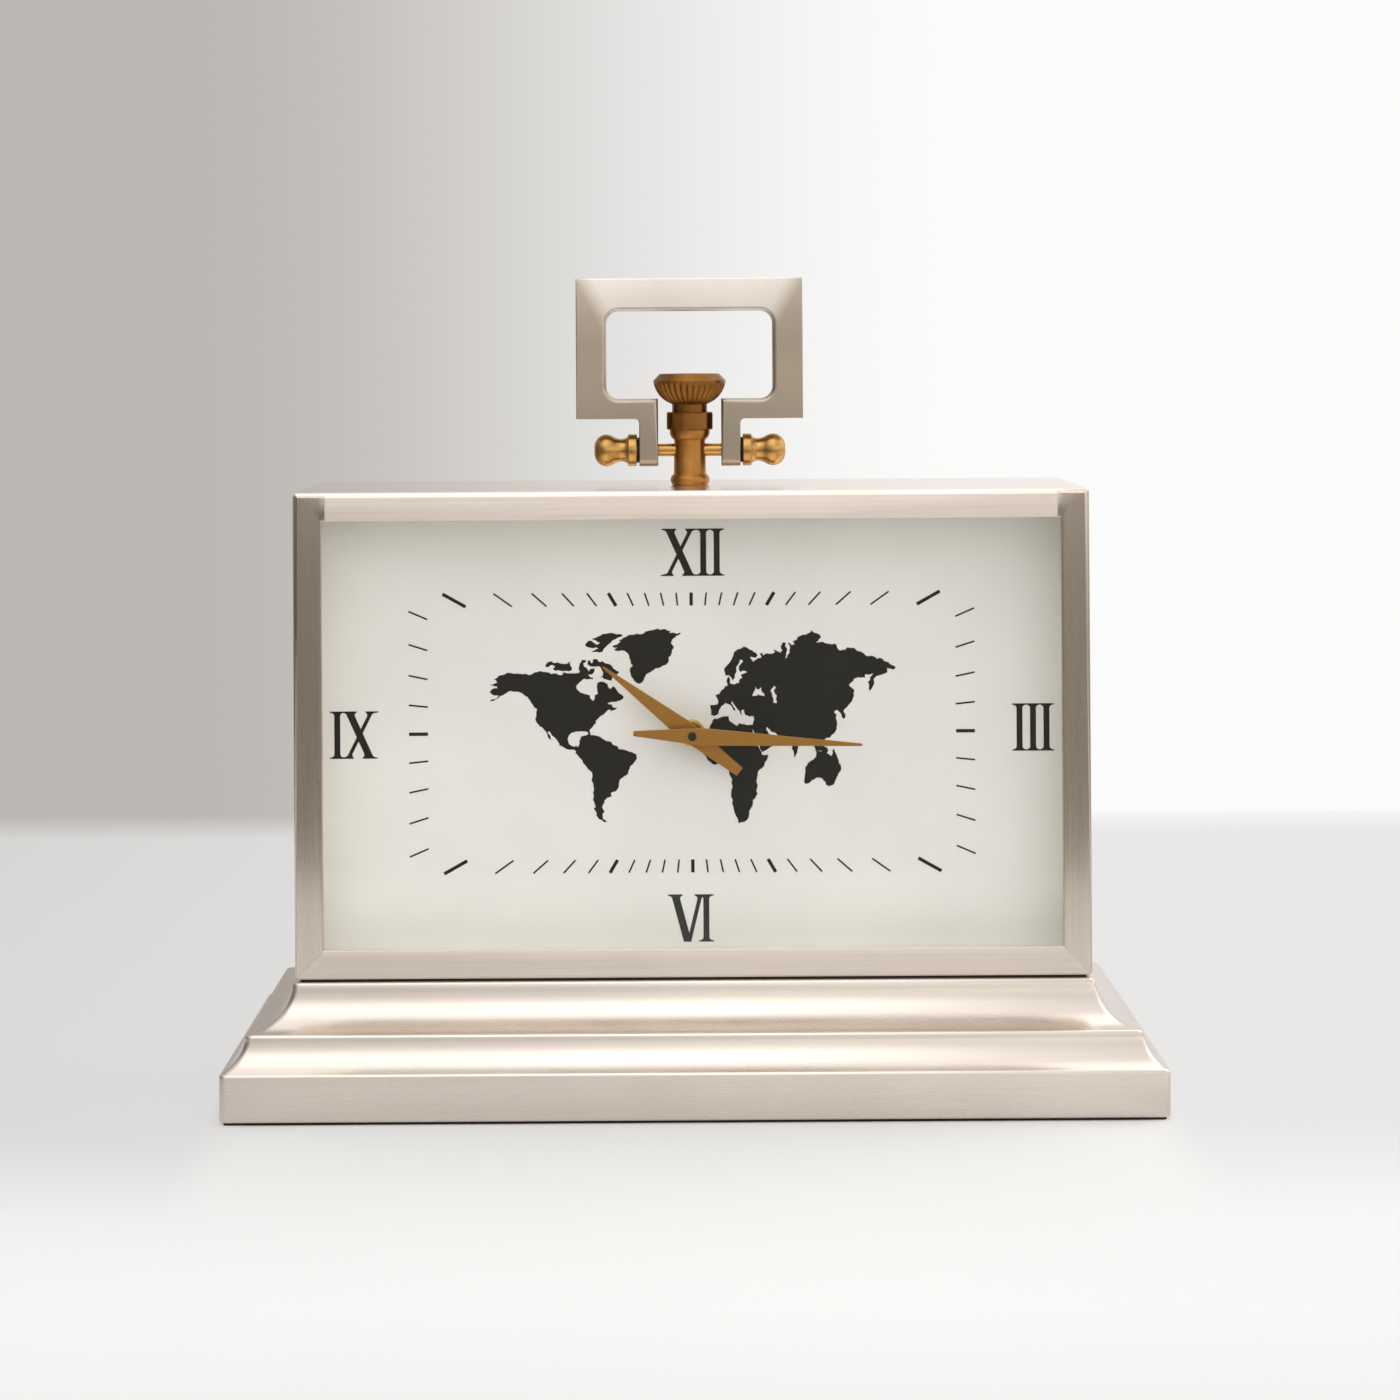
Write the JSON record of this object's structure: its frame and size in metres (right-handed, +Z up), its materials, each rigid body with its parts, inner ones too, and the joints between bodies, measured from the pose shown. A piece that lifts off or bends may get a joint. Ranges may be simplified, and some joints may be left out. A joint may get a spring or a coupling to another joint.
{
  "type": "table clock",
  "caption": "Rectangular table clock on a stepped plinth, glazed map dial with turning hands, and a swinging carry handle on a turned brass post.",
  "frame": {"origin": "under the middle of the base, on the face it stands on", "axes": "+X to the right as seen from the front, +Y to the back, +Z up; the dial faces -Y"},
  "size_m": [0.382, 0.149, 0.3401],
  "materials": {
    "nickel": "brushed, warm nickel plating, satin",
    "antique_brass": "turned, darkened, polished",
    "pale_brass": "turned, polished",
    "hand_brass": "satin, gold coloured",
    "steel": "zinc plated",
    "blackened_steel": "blackened",
    "copper": "enamelled wire",
    "glass": "clear, polished",
    "dial": "white lacquer with dark print, matt",
    "black_metal": "black powder coat",
    "black_plastic": "moulded",
    "white_plastic": "moulded",
    "circuit": "green solder mask",
    "battery_wrap": "printed sleeve, plain",
    "felt": "dense felt",
    "board": "fibre board",
    "rubber": "smooth"
  },
  "bodies": {
    "clock_body": {"base_plinth": "nickel", "base_bottom_plate": "board", "base_felt": "felt", "case_gasket": "rubber", "case_bolt_left": "steel", "case_bolt_right": "steel", "case_nut_left": "steel", "case_nut_right": "steel", "case_shell": "nickel", "glass_pane": "glass", "dial_spacer": "white_plastic", "dial_plate": "dial", "dial_bracket_1": "steel", "dial_bracket_2": "steel", "dial_bracket_3": "steel", "dial_bracket_4": "steel", "back_panel": "black_metal", "handle_post": "antique_brass", "post_collar": "antique_brass", "crown_knob": "antique_brass", "post_washer": "steel", "post_nut": "steel", "pivot_pin": "pale_brass", "left_finial": "pale_brass", "right_finial": "pale_brass", "left_washer": "rubber", "right_washer": "rubber", "movement_housing": "black_plastic", "movement_cover": "black_plastic", "bush_gasket": "rubber", "bush_nut": "pale_brass", "circuit_board": "circuit", "quartz_crystal": "steel", "drive_coil": "copper", "stator": "steel", "battery": "battery_wrap", "battery_contact_negative": "steel", "battery_contact_positive": "steel", "back_screw_1": "steel", "back_screw_2": "steel", "back_screw_3": "steel", "back_screw_4": "steel", "back_screw_5": "steel", "back_screw_6": "steel"},
    "handle_body": {"handle": "nickel"},
    "minute_body": {"minute_hand": "hand_brass", "minute_arbor": "blackened_steel"},
    "hour_body": {"hour_hand": "hand_brass", "hour_wheel": "white_plastic"},
    "setting_body": {"minute_wheel": "white_plastic", "setting_knob": "white_plastic"}
  },
  "joints": [
    {"name": "handle_swing", "type": "hinge", "parent": "clock_body", "child": "handle_body", "pos_m": [0, 0, 0.267], "axis": [1, 0, 0], "range_deg": [-100, 100]},
    {"name": "minute_hand_turn", "type": "hinge", "parent": "clock_body", "child": "minute_body", "pos_m": [0, -0.039, 0.15025], "axis": [0, 1, 0], "continuous": true},
    {"name": "hour_hand_turn", "type": "hinge", "parent": "clock_body", "child": "hour_body", "pos_m": [0, -0.036, 0.15025], "axis": [0, 1, 0], "continuous": true},
    {"name": "setting_turn", "type": "hinge", "parent": "clock_body", "child": "setting_body", "pos_m": [0.00617, -0.006, 0.1576], "axis": [0, 1, 0], "continuous": true}
  ],
  "couplings": [
    {"joint": "hour_hand_turn", "follows": "minute_hand_turn", "ratio": 0.083333},
    {"joint": "setting_turn", "follows": "minute_hand_turn", "ratio": -0.33333}
  ]
}
